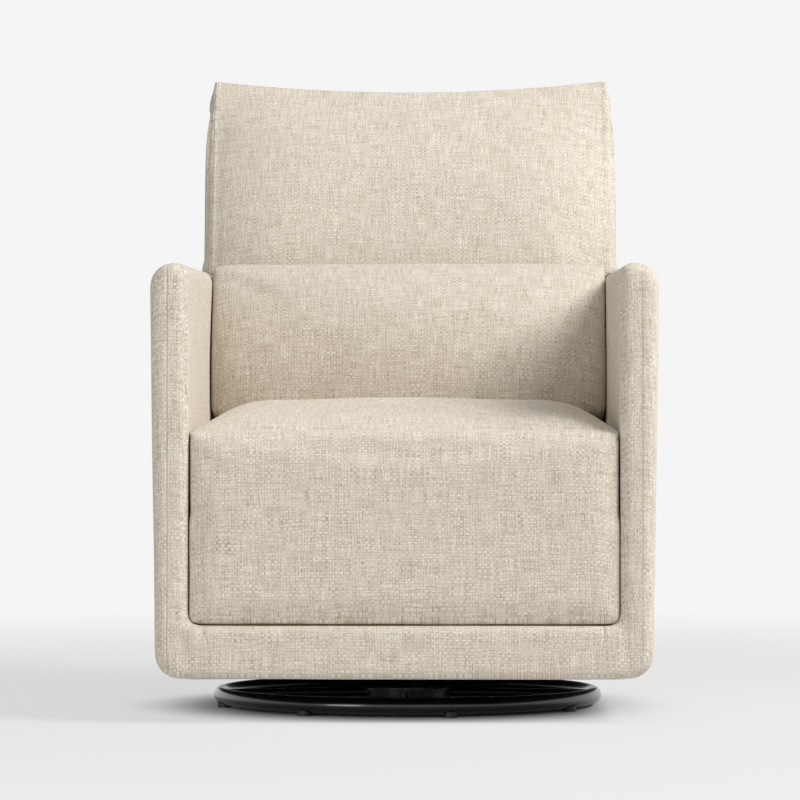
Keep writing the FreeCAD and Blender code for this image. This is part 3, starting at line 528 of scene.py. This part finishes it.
split = add(tree, "ShaderNodeSeparateXYZ", {"Vector": uneven.outputs["Vector"]})
check = add(tree, "ShaderNodeTexChecker", {"Vector": uneven.outputs["Vector"], "Scale": 1.0})


def hump(value):
    """The round back of a bundle across one of its directions."""
    turn = add(tree, "ShaderNodeMath", {0: value, 1: math.pi}, operation="MULTIPLY")
    wave = add(tree, "ShaderNodeMath", {0: turn.outputs[0]}, operation="SINE")
    return add(tree, "ShaderNodeMath", {0: wave.outputs[0]}, operation="ABSOLUTE").outputs[0]


def over(across, along):
    """A bundle that lies on top: round across, and dipping only a little where it goes under."""
    dip = add(tree, "ShaderNodeMath", {0: along, 1: under_dip, 2: 1 - under_dip}, operation="MULTIPLY_ADD")
    return add(tree, "ShaderNodeMath", {0: across, 1: dip.outputs[0]}, operation="MULTIPLY").outputs[0]


def streaks(across_scale, along_scale, seed):
    """Slubs: thick and thin places, long one way and narrow the other."""
    stretched = add(tree, "ShaderNodeMapping",
                    {"Vector": uneven.outputs["Vector"], "Location": (seed, seed, 0),
                     "Scale": (across_scale, along_scale, 1)})
    slubs = add(tree, "ShaderNodeTexNoise",
                {"Vector": stretched.outputs["Vector"], "Scale": 1.0, "Detail": 3.0}, noise_dimensions="2D")
    return slubs.outputs["Fac"]


hump_across = hump(split.outputs["X"])
hump_along = hump(split.outputs["Y"])
# A mix of numbers takes its share in input 0 and the numbers in 2 and 3
relief_height = add(tree, "ShaderNodeMix",
                    {0: check.outputs["Fac"], 2: over(hump_across, hump_along),
                     3: over(hump_along, hump_across)})
slub_across = 2.3
slub_along = 0.13
yarn = add(tree, "ShaderNodeMix",
           {0: check.outputs["Fac"], 2: streaks(slub_across, slub_along, seed=3.0),
            3: streaks(slub_along, slub_across, seed=17.0)})
streak_across = 0.5
streak_along = 0.06
weft_share = 0.4
heather = add(tree, "ShaderNodeMix",
              {0: weft_share, 2: streaks(streak_across, streak_along, seed=31.0),
               3: streaks(streak_along, streak_across, seed=47.0)})
fuzz = add(tree, "ShaderNodeTexNoise", {"Vector": in_bundles.outputs["Vector"], "Scale": 3.4, "Detail": 3.0},
           noise_dimensions="2D")
# The tone sums the yarn slubs, the checker, the fuzz and the heather, and also the bundles' relief height,
# which is painted shade: the dips between bundles are darker and the crests lighter.
shade = 0.0
for part, weight in (
    (yarn.outputs[0], 1.7),
    (relief_height.outputs[0], 0.2),
    (check.outputs["Fac"], 0.1),
    (fuzz.outputs["Fac"], 0.75),
    (heather.outputs[0], 0.5),
):
    shade = add(tree, "ShaderNodeMath", {0: part, 1: weight, 2: shade}, operation="MULTIPLY_ADD").outputs[0]
spread = add(tree, "ShaderNodeMapRange", {"Value": shade, "From Min": 1.15, "From Max": 2.15})
yarn_tones = add(tree, "ShaderNodeValToRGB", {"Fac": spread.outputs["Result"]})
yarn_tones.color_ramp.elements[0].color = to_linear("#A3957F")
yarn_tones.color_ramp.elements[1].color = to_linear("#E8E2D9")
for position, colour in ((0.35, "#C6BBAA"), (0.65, "#D6CDBF")):
    yarn_tones.color_ramp.elements.new(position).color = to_linear(colour)
nap_share = 0.5
nap = add(tree, "ShaderNodeMath", {0: fuzz.outputs["Fac"], 1: nap_share, 2: relief_height.outputs[0]},
          operation="MULTIPLY_ADD")
relief = add(tree, "ShaderNodeBump", {"Height": nap.outputs[0], "Strength": 0.4, "Distance": 0.0006})
tree.links.new(yarn_tones.outputs["Color"], shader.inputs["Base Color"])
tree.links.new(relief.outputs["Normal"], shader.inputs["Normal"])
shader.inputs["Roughness"].default_value = 0.92
shader.inputs["Sheen Weight"].default_value = 0.15
shader.inputs["Sheen Roughness"].default_value = 0.6


def sewn(piece, point, normal, depth, chosen):
    """A seam: cuts the cover along a plane and draws it in there, where the chosen points are."""
    half_width = 0.0016
    made = bmesh.new()
    made.from_mesh(piece.data)
    for shift in (-half_width, 0, half_width):
        parts = made.verts[:] + made.edges[:] + made.faces[:]
        place = Vector(point) + Vector(normal) * shift
        bmesh.ops.bisect_plane(made, geom=parts, plane_co=place, plane_no=normal)
    made.normal_update()
    on_plane = 1e-5
    drawn = []
    for vert in made.verts:
        if abs((vert.co - Vector(point)).dot(Vector(normal))) < on_plane and chosen(vert):
            drawn.append((vert, vert.normal * depth))
    for vert, pull in drawn:
        vert.co -= pull
    made.to_mesh(piece.data)
    made.free()


def squared(piece, axes, centre, reach, power):
    """Makes a round edge squarer: points past its centre both ways move out along their ray from there."""
    points = points_of(piece.data)
    first = (points[:, axes[0]] - centre[0]) / reach[0]
    second = (points[:, axes[1]] - centre[1]) / reach[1]
    far = np.maximum(np.hypot(first, second), 1e-9)
    corner = (first > 0) & (second > 0)
    run = np.abs(first / far) ** power + np.abs(second / far) ** power
    grown = np.where(corner, 1 + (run ** (-1 / power) - 1) * np.minimum(far, 1), 1)
    points[:, axes[0]] = np.where(corner, centre[0] + first * grown * reach[0], points[:, axes[0]])
    points[:, axes[1]] = np.where(corner, centre[1] + second * grown * reach[1], points[:, axes[1]])
    set_points(piece.data, points)


def cover_with(piece, *nodes, fill):
    """Gives a finished cover its cloth, makes it part of the seat and hides the pads it stands for."""
    lay_cloth(piece)
    piece.data.materials.clear()
    piece.data.materials.append(basket_weave)
    piece.data.polygons.foreach_set("use_smooth", [True] * len(piece.data.polygons))
    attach(piece, "seat")
    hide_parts(*nodes)


arm_seam = 0.354
corner_round = 0.046
corner_centre = 0.3275
corner_height = 0.112
tuck_place = 0.299
tuck_top = 0.150
tuck_bottom = 0.134
# A point belongs to a seam where the cover's normal leans this far
sideways = 0.8
ahead = -0.3
surround = link_piece("arms_and_rail_cover", copy_of("left_arm_pad", "right_arm_pad", "front_rail_pad"))
upright(surround)
remeshed(surround, voxel=0.0066)
upright(surround, undo=True)
eased(surround, rounds=1)
for side in (-1, 1):
    squared(surround, axes=(0, 2), centre=(side * corner_centre, corner_height),
            reach=(side * corner_round, -corner_round), power=2.5)
uneven_fill(surround, width=0.16, depth=0.0008)
for side in (-1, 1):
    sewn(surround, (side * arm_seam, 0, 0), (1, 0, 0), depth=0.0012,
         chosen=lambda vert: abs(vert.normal.x) < sideways)
    sewn(surround, (side * tuck_place, 0, 0), (1, 0, 0), depth=0.003,
         chosen=lambda vert: vert.normal.y < ahead and tuck_bottom < vert.co.z < tuck_top)
cover_with(surround, "left_arm_pad", "right_arm_pad", "front_rail_pad", fill=0.9)


# Outer back
# A flat panel of the same cloth over thin foam, tacked to the rear of the frame.
# Its sides turn in beside the back cushion and end on the arms, so that no wood shows.

outer_back = link_piece("outer_back_panel", copy_of("outer_back"))
upright(outer_back)
remeshed(outer_back, voxel=0.005)
upright(outer_back, undo=True)
eased(outer_back, rounds=2)
cover_with(outer_back, "outer_back", fill=0.9)


# Lower back pad
# A block of foam in the same cloth that fills the frame behind the lumbar cushion.
# It is fixed between the posts, and the loose cushions lean on it.

lower_back = link_piece("lower_back_block", copy_of("lower_back_pad"))
remeshed(lower_back, voxel=0.008)
eased(lower_back, rounds=2)
cover_with(lower_back, "lower_back_pad", fill=0.9)


# Seat
# A crowned foam seat whose cover turns down over a tall front, with a seam along the top edge.
# It is packed firmest near its ends, and its filling presses the cover out against the arms.

def filled(piece, free, ways, inset, pressure, cap):
    """Draws the free faces of a cover in, then lets its filling push them out, by no more than the cap.

    It moves only the ways that have room, one number for each axis.
    """
    mesh = piece.data
    start = points_of(mesh) - points_of(mesh, name="normal") * free[:, None] * inset * ways
    set_points(mesh, start)
    held = piece.vertex_groups.new(name="held")
    held.add(np.flatnonzero(free < 0.5).tolist(), 1.0, "REPLACE")
    cover = piece.modifiers.new("filling", "CLOTH")
    cover.settings.vertex_group_mass = "held"
    cover.settings.use_pressure = True
    cover.settings.uniform_pressure_force = pressure
    cover.settings.effector_weights.gravity = 0
    cover.collision_settings.use_collision = False
    settle_frames = 20
    for step in range(1, settle_frames + 1):
        bpy.context.scene.frame_set(step)
    shown = piece.evaluated_get(bpy.context.evaluated_depsgraph_get())
    move = (points_of(shown.data) - start) * ways
    piece.modifiers.clear()
    piece.vertex_groups.clear()
    bpy.context.scene.frame_set(1)
    length = np.linalg.norm(move, axis=1)
    share = np.minimum(1, cap / np.maximum(length, 1e-9))
    set_points(mesh, start + move * share[:, None])


turned = 0.35


def top_and_front(piece):
    """1 for the points on a cover's top and front, which its filling pushes out, and 0 for the others."""
    normals = points_of(piece.data, name="normal")
    return ((normals[:, 2] > turned) | (normals[:, 1] < -turned)).astype(float)


slab = 0.01
shoulder_place = 0.262
shoulder_width = 0.07
shoulder_gain = 0.24
shoulder_end = 0.02
shoulder_fade = 0.1
seat_seam = 0.441
seat_roll = 0.045
seat_front = -0.428
seat_half_width = 0.3222
front_run = 0.025
front_fit = 0.001


def in_steps(values, step):
    """The number of the step that each value falls in, from 0."""
    steps = np.round(values / step).astype(int)
    return steps - steps.min()


def widened(piece, half_width, most, ahead_of=math.inf):
    """Brings a cover's ends out to the arms at each height, by a few hundredths, ahead of a depth."""
    points = points_of(piece.data)
    chosen = points[:, 1] < ahead_of
    x, y, z = points[chosen].T
    steps = in_steps(z, slab)
    widest = np.zeros(steps.max() + 1)
    np.maximum.at(widest, steps, np.abs(x))
    reach = np.interp((z - z.min()) / slab, np.arange(len(widest)), widest)
    points[chosen, 0] = x * np.clip(half_width / np.maximum(reach, slab), 1, most)
    set_points(piece.data, points)


def full_shouldered(piece):
    """Lifts the crown near its ends, where the seat is packed firmest, in front of the lumbar cushion."""
    points = points_of(piece.data)
    x, y, z = points.T
    shoulder = np.exp(-(((np.abs(x) - shoulder_place) / shoulder_width) ** 2))
    in_front = np.clip((shoulder_end - y) / shoulder_fade, 0, 1)
    points[:, 2] += np.maximum(z - seat_seam, 0) * shoulder_gain * shoulder * in_front
    set_points(piece.data, points)


seat = link_piece("seat_cushion", copy_of("seat_top_pad", "seat_front_pad"))
remeshed(seat, voxel=0.006)
squared(seat, axes=(1, 2), centre=(seat_front + seat_roll, seat_seam - seat_roll),
        reach=(-seat_roll, seat_roll), power=6)
filled(seat, top_and_front(seat), ways=(0, 1, 1), inset=0.003, pressure=4.0, cap=0.005)
eased(seat, rounds=6)
full_shouldered(seat)
widened(seat, seat_half_width, most=1.02)
widened(seat, seat_half_width - front_fit, most=1.03, ahead_of=seat_front + front_run)
uneven_fill(seat, width=0.14, depth=0.0015)
sewn(seat, (0, 0, seat_seam), (0, 0, 1), depth=0.0015, chosen=lambda vert: vert.normal.y < ahead)
cover_with(seat, "seat_top_pad", "seat_front_pad", fill=0.85)


# Lumbar cushion
# A long loose cushion of the same cloth, filled with fibre and closed along its edges.
# It is wedged between the arms and leans on the lower back pad, so that its top edge stands up.

lumbar_lift = 0.004
lift_run = 0.06


def smooth(share):
    """A share from 0 to 1, eased at both ends."""
    return share * share * (3 - 2 * share)


def plumped(piece):
    """Lifts the top edge a little, so that it stands up in front of the back cushion."""
    points = points_of(piece.data)
    share = np.clip(1 - (points[:, 2].max() - points[:, 2]) / lift_run, 0, 1)
    points[:, 2] += lumbar_lift * smooth(share)
    set_points(piece.data, points)


lumbar = link_piece("lumbar_pillow", copy_of("lumbar_cushion"))
remeshed(lumbar, voxel=0.006)
filled(lumbar, top_and_front(lumbar), ways=(0, 1, 1), inset=0.004, pressure=4.0, cap=0.010)
eased(lumbar, rounds=12)
plumped(lumbar)
widened(lumbar, seat_half_width, most=1.02)
uneven_fill(lumbar, width=0.12, depth=0.002)
cover_with(lumbar, "lumbar_cushion", fill=0.8)


# Back cushion
# A fibre filled pillow with a knife edge along the top, drawn up to points at its corners.
# Its front panel is sewn to a side gusset that swells past the seam.

panel_seam = 0.333
ear_height = 1.034
top_dip = 0.019
lift_from = 0.93
side_fall = 0.034
side_run = 0.12
gusset_swell = 0.006
gusset_from = 0.3
arm_face = 0.318
arm_edge_round = 0.027
overhang_sag = 0.0045
settle_run = 0.05
foot_round = 0.02
foot_inset = 0.326
foot_height = 0.727
seam_reach = 0.003
panel_ahead = -0.1


def extremes(values, groups):
    """The least and the greatest value of each point's group."""
    least = np.full(groups.max() + 1, np.inf)
    greatest = np.full(groups.max() + 1, -np.inf)
    np.minimum.at(least, groups, values)
    np.maximum.at(greatest, groups, values)
    return least[groups], greatest[groups]


def crowned(piece):
    """Lets the front fall away towards both side seams and the gussets swell, by less at the thin top."""
    points = points_of(piece.data)
    x, y, z = points.T
    front, rear = extremes(y, in_steps(z, slab))
    ahead = (rear - y) / np.maximum(rear - front, 1e-6)
    to_seam = np.clip((panel_seam - np.abs(x)) / side_run, 0, 1)
    thickness = np.clip((ear_height - z) / side_run, 0, 1)
    on_gusset = np.clip((np.abs(x) - gusset_from) / (panel_seam - gusset_from), 0, 1)
    points[:, 0] += np.sign(x) * gusset_swell * 4 * ahead * (1 - ahead) * on_gusset * thickness
    points[:, 1] += side_fall * ahead * (1 - to_seam) ** 2 * thickness
    set_points(piece.data, points)


def raised_to_top_line(piece):
    """Brings the knife edge back up to the line that runs from point to point and dips between them."""
    points = points_of(piece.data)
    x, y, z = points.T
    now = extremes(z, in_steps(x, slab / 2))[1]
    wanted = ear_height - top_dip * (1 - (x / panel_seam) ** 2)
    missing = np.where(np.abs(x) < panel_seam, wanted - now, 0)
    share = np.clip((z - lift_from) / np.maximum(now - lift_from, 1e-6), 0, 1)
    points[:, 2] += missing * smooth(share)
    set_points(piece.data, points)


def settled_on_arms(piece):
    """Lets the lower corners that overhang sag on the rounded inner edges of the arms."""
    points = points_of(piece.data)
    past_arm_face = np.abs(points[:, 0]) - arm_face
    to_crest = np.clip(1 - past_arm_face / arm_edge_round, 0, 1)
    sag = overhang_sag + arm_edge_round * (1 - np.sqrt(1 - to_crest**2))
    drop = np.where(past_arm_face > 0, sag, 0)
    share = np.clip(1 - (points[:, 2] - points[:, 2].min()) / settle_run, 0, 1)
    points[:, 2] -= drop * share
    set_points(piece.data, points)


back = link_piece("back_pillow", copy_of("back_cushion"))
remeshed(back, voxel=0.0045)
crowned(back)
points = points_of(back.data)
normals = points_of(back.data, name="normal")
on_seam = np.abs(np.abs(points[:, 0]) - panel_seam) < seam_reach
free = ((normals[:, 1] < -turned) & ~on_seam).astype(float)
filled(back, free, ways=(0, 1, 1), inset=0.004, pressure=4.0, cap=0.018)
eased(back, rounds=2)
uneven_fill(back, width=0.15, depth=0.002)
raised_to_top_line(back)
settled_on_arms(back)
for side in (-1, 1):
    squared(back, axes=(0, 2), centre=(side * foot_inset, foot_height),
            reach=(side * foot_round, -foot_round), power=6)
for side in (-1, 1):
    sewn(back, (side * panel_seam, 0, 0), (1, 0, 0), depth=0.0012,
         chosen=lambda vert: vert.normal.y < panel_ahead)
cover_with(back, "back_cushion", fill=0.8)


# Studio
# A plain pale floor that fades into the backdrop, and is darker close under the chair.
# A soft key lamp stands high on the right, with weak lamps overhead and low on the left and an even sky.

def seen_as_backdrop(tree):
    """1 for rays that show the surface to the camera, also in gloss or through glass, and 0 for light."""
    paths = add(tree, "ShaderNodeLightPath")
    seen = paths.outputs["Is Camera Ray"]
    for kind in ("Is Glossy Ray", "Is Transmission Ray"):
        seen = add(tree, "ShaderNodeMath", {0: seen, 1: paths.outputs[kind]}, operation="MAXIMUM").outputs[0]
    return seen


floor_tone = "#D9D9D9"
tooth_tone = "#DBDBDB"
floor_glow = "#ECECEC"
backdrop_tone = "#F5F5F5"
fade_from = 0.8
fade_to = 3.6
near_glow = 0.72
contact_from = 0.27
contact_to = 0.47
sweep_paper, tree, shader = new_finish("pale_studio_paper")
place = add(tree, "ShaderNodeTexCoord").outputs["Object"]
tooth = add(tree, "ShaderNodeTexNoise", {"Vector": place, "Scale": per_metre(30), "Detail": 2.0})
tone = add(tree, "ShaderNodeMix",
           {0: tooth.outputs["Fac"], 6: to_linear(floor_tone), 7: to_linear(tooth_tone)}, data_type="RGBA")
tree.links.new(tone.outputs[2], shader.inputs["Base Color"])
shader.inputs["Roughness"].default_value = 0.95
shader.inputs["Specular IOR Level"].default_value = 0.1
distance = add(tree, "ShaderNodeVectorMath", {0: place}, operation="LENGTH")
fade = add(tree, "ShaderNodeMapRange",
           {"Value": distance.outputs["Value"], "From Min": fade_from, "From Max": fade_to},
           interpolation_type="SMOOTHSTEP")
glow_tone = add(tree, "ShaderNodeMix",
                {0: fade.outputs["Result"], 6: to_linear(floor_glow), 7: to_linear(backdrop_tone)},
                data_type="RGBA")
glow = add(tree, "ShaderNodeEmission", {"Color": glow_tone.outputs[2]})
contact = add(tree, "ShaderNodeMapRange",
              {"Value": distance.outputs["Value"], "From Min": contact_from, "From Max": contact_to,
               "To Max": near_glow},
              interpolation_type="SMOOTHSTEP")
glow_share = add(tree, "ShaderNodeMapRange",
                 {"Value": fade.outputs["Result"], "To Min": contact.outputs["Result"], "To Max": 1.0})
seen_share = add(tree, "ShaderNodeMath", {0: seen_as_backdrop(tree), 1: glow_share.outputs["Result"]},
                 operation="MULTIPLY")
paper = add(tree, "ShaderNodeMixShader",
            {0: seen_share.outputs[0], 1: shader.outputs["BSDF"], 2: glow.outputs["Emission"]})
tree.links.new(paper.outputs[0], tree.nodes["Material Output"].inputs["Surface"])
made = bmesh.new()
bmesh.ops.create_circle(made, cap_ends=True, segments=64, radius=16)
floor = link_piece("studio_floor", made)
floor.data.materials.append(sweep_paper)

world = bpy.data.worlds.new("studio_sky")
bpy.context.scene.world = world
world.use_nodes = True
tree = world.node_tree
tree.nodes.clear()
sky = add(tree, "ShaderNodeBackground", {"Color": to_linear("#FFFFFF"), "Strength": 0.33})
backdrop = add(tree, "ShaderNodeBackground", {"Color": to_linear(backdrop_tone), "Strength": 1.0})
both = add(tree, "ShaderNodeMixShader",
           {0: seen_as_backdrop(tree), 1: sky.outputs[0], 2: backdrop.outputs[0]})
add(tree, "ShaderNodeOutputWorld", {"Surface": both.outputs[0]})


def soft_light(name, place, aim, size, power):
    """A square lamp that faces a point."""
    lamp = bpy.data.lights.new(name, "AREA")
    lamp.size = size
    lamp.energy = power
    light = bpy.data.objects.new(name, lamp)
    light.location = place
    light.rotation_euler = (Vector(aim) - Vector(place)).to_track_quat("-Z", "Y").to_euler()
    bpy.context.scene.collection.objects.link(light)


soft_light("key", (3.5, -2.0, 3.8), aim=(0, 0, 0.5), size=2.4, power=268)
soft_light("overhead", (0.2, -0.15, 3.3), aim=(0, -0.2, 0.45), size=1.2, power=8)
soft_light("fill", (-1.7, -2.4, 0.6), aim=(0, -0.3, 0.4), size=1.0, power=15)

lens = bpy.data.cameras.new("photograph")
lens.sensor_width = 36.0
lens.lens = 176.9
lens.clip_end = 100
camera = bpy.data.objects.new("photograph", lens)
camera.location = (0.076, -6.292, 0.433)
aim = Vector((-0.012, 0, 0.487))
camera.rotation_euler = (aim - camera.location).to_track_quat("-Z", "Y").to_euler()
bpy.context.scene.collection.objects.link(camera)
bpy.context.scene.camera = camera
bpy.context.scene.view_settings.view_transform = "Standard"
